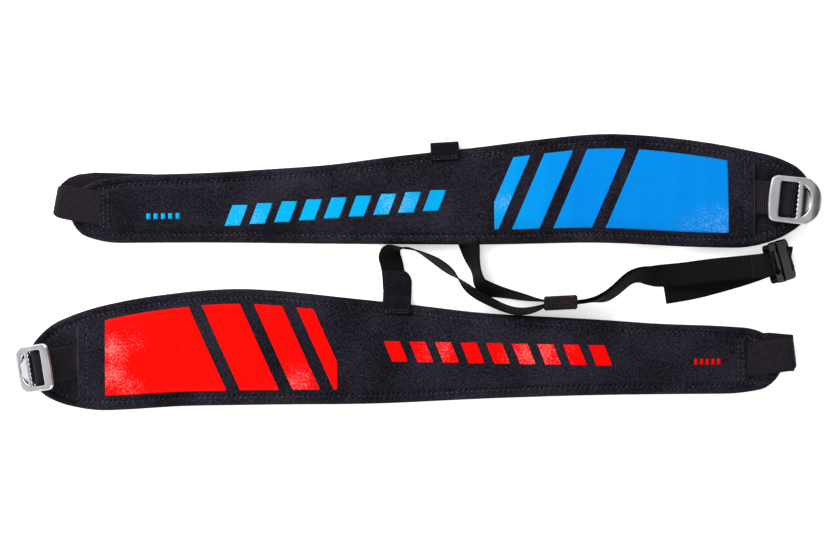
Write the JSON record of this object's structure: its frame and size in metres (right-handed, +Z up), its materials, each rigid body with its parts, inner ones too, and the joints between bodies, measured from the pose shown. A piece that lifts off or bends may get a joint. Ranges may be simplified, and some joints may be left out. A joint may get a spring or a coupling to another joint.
{
  "type": "padded harness shoulder strap pair",
  "caption": "Two padded shoulder straps with ladder-lock buckles and webbing end loops, joined by a thin chest strap with a side-release buckle.",
  "frame": {"origin": "middle of the footprint on the resting plane", "axes": "+Z up from the resting plane, +X towards the right strap's ladder lock, +Y from the left strap to the right strap"},
  "size_m": [0.7067, 0.2424, 0.0455],
  "materials": {
    "spacer_mesh": "3-D spacer mesh",
    "foam": "closed-cell foam",
    "cover_fabric": "woven nylon",
    "panel_fabric": "woven nylon",
    "thread": "bonded thread",
    "blue_film": "glossy transfer film",
    "cyan_film": "glossy transfer film",
    "red_film": "glossy transfer film",
    "aluminium": "polished",
    "buckle_plastic": "satin acetal",
    "tab_fabric": "grosgrain",
    "webbing": "ribbed nylon webbing"
  },
  "bodies": {
    "root": {"chest_buckle_female": "buckle_plastic", "chest_buckle_male": "buckle_plastic", "chest_webbing_tail": "webbing", "left_back_lining": "spacer_mesh", "left_buckle_webbing": "webbing", "left_chest_tab": "tab_fabric", "left_chest_webbing_base": "webbing", "left_chest_webbing_bend": "webbing", "left_chest_webbing_edge": "webbing", "left_chest_webbing_rise": "webbing", "left_emblem_film": "red_film", "left_end_loop_tail": "webbing", "left_end_loop_webbing": "webbing", "left_face_sleeve": "panel_fabric", "left_foam_core": "foam", "left_front_cover": "cover_fabric", "left_load_webbing": "webbing", "left_rim_stitching": "thread", "left_side_mark": "red_film", "left_sleeve_stitching": "thread", "left_stripe_film": "red_film", "left_tab_stitching": "thread", "right_back_lining": "spacer_mesh", "right_buckle_webbing": "webbing", "right_chest_anchor": "webbing", "right_chest_tab": "tab_fabric", "right_chest_webbing_edge": "webbing", "right_chest_webbing_flat": "webbing", "right_emblem_film": "blue_film", "right_end_loop_tail": "webbing", "right_end_loop_webbing": "webbing", "right_face_sleeve": "panel_fabric", "right_foam_core": "foam", "right_front_cover": "cover_fabric", "right_load_webbing": "webbing", "right_rim_stitching": "thread", "right_side_mark": "cyan_film", "right_sleeve_stitching": "thread", "right_stripe_film": "cyan_film", "right_tab_stitching": "thread"},
    "right_lock": {"right_ladder_lock": "aluminium"},
    "left_lock": {"left_ladder_lock": "aluminium"},
    "prong_a": {"chest_buckle_prong_a": "buckle_plastic"},
    "prong_b": {"chest_buckle_prong_b": "buckle_plastic"},
    "keeper": {"chest_keeper": "tab_fabric"}
  },
  "joints": [
    {"name": "right_lock_tilt", "type": "hinge", "parent": "root", "child": "right_lock", "pos_m": [0.32583, 0.06293, 0.0165], "axis": [0.0958, 0.9954, 0], "range_deg": [-8, 8]},
    {"name": "left_lock_tilt", "type": "hinge", "parent": "root", "child": "left_lock", "pos_m": [-0.33091, -0.08343, 0.023], "axis": [0.1599, -0.9871, 0], "range_deg": [-45, 2]},
    {"name": "prong_a_press", "type": "hinge", "parent": "root", "child": "prong_a", "pos_m": [0.30888, 0.01846, 0.03002], "axis": [-0.8365, -0.2241, -0.5], "range_deg": [0, 9], "stiffness_Nm_per_rad": 0.5},
    {"name": "prong_b_press", "type": "hinge", "parent": "root", "child": "prong_b", "pos_m": [0.31431, -0.00183, 0.03002], "axis": [0.8365, 0.2241, 0.5], "range_deg": [0, 9], "stiffness_Nm_per_rad": 0.5},
    {"name": "keeper_slide", "type": "slide", "parent": "root", "child": "keeper", "axis": [1, 0, 0], "range_m": [-0.003, 0.007]}
  ]
}
